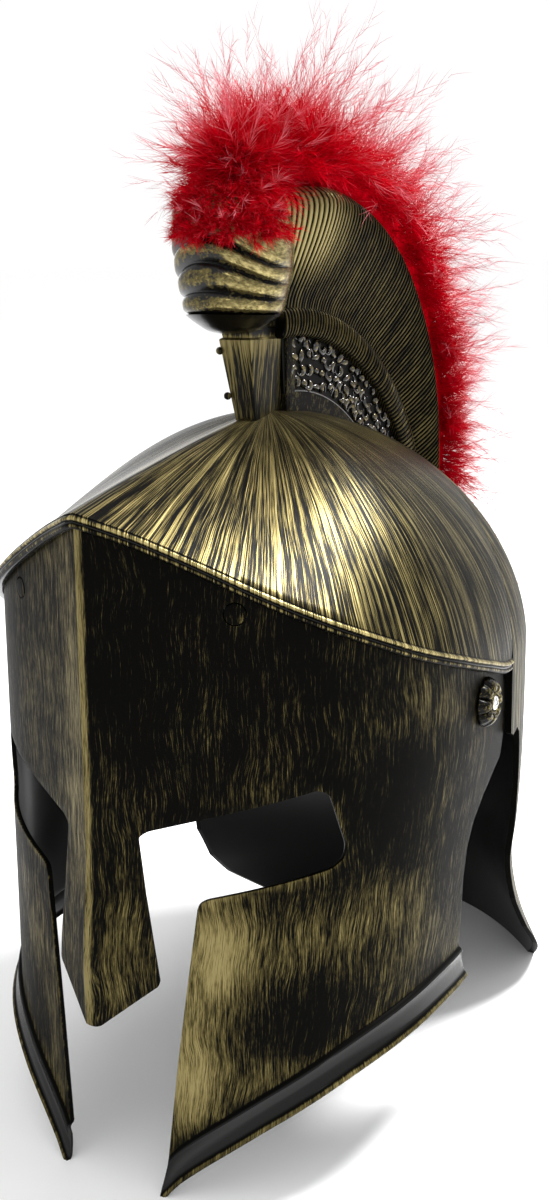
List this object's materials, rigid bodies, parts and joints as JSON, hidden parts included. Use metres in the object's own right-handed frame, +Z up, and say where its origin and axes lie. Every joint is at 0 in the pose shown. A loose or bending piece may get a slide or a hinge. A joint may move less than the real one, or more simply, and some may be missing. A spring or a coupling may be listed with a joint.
{
  "type": "spartan helmet",
  "caption": "Costume spartan helmet with eye slots, nose guard, long cheek pieces, neck guard and a tall crest that carries a crimson feather plume.",
  "frame": {"origin": "centre of the helmet's bounding box on the surface that it stands on", "axes": "+Z up, the face looks along -Y, +X to the wearer's left"},
  "size_m": [0.2156, 0.3298, 0.4412],
  "materials": {
    "gold_shell": "black plastic with a brushed antique-gold coat",
    "black_shell": "black, half gloss",
    "zinc": "zinc plated",
    "crimson_feather": "soft dyed down"
  },
  "bodies": {
    "root": {"dome": "gold_shell", "back_shell": "black_shell", "face_mask": "gold_shell", "forehead_peg_left": "gold_shell", "forehead_peg_right": "gold_shell", "rosette_left": "gold_shell", "rosette_right": "gold_shell", "rosette_screw_left": "zinc", "rosette_screw_right": "zinc", "crest": "gold_shell", "plume": "crimson_feather"}
  },
  "joints": []
}
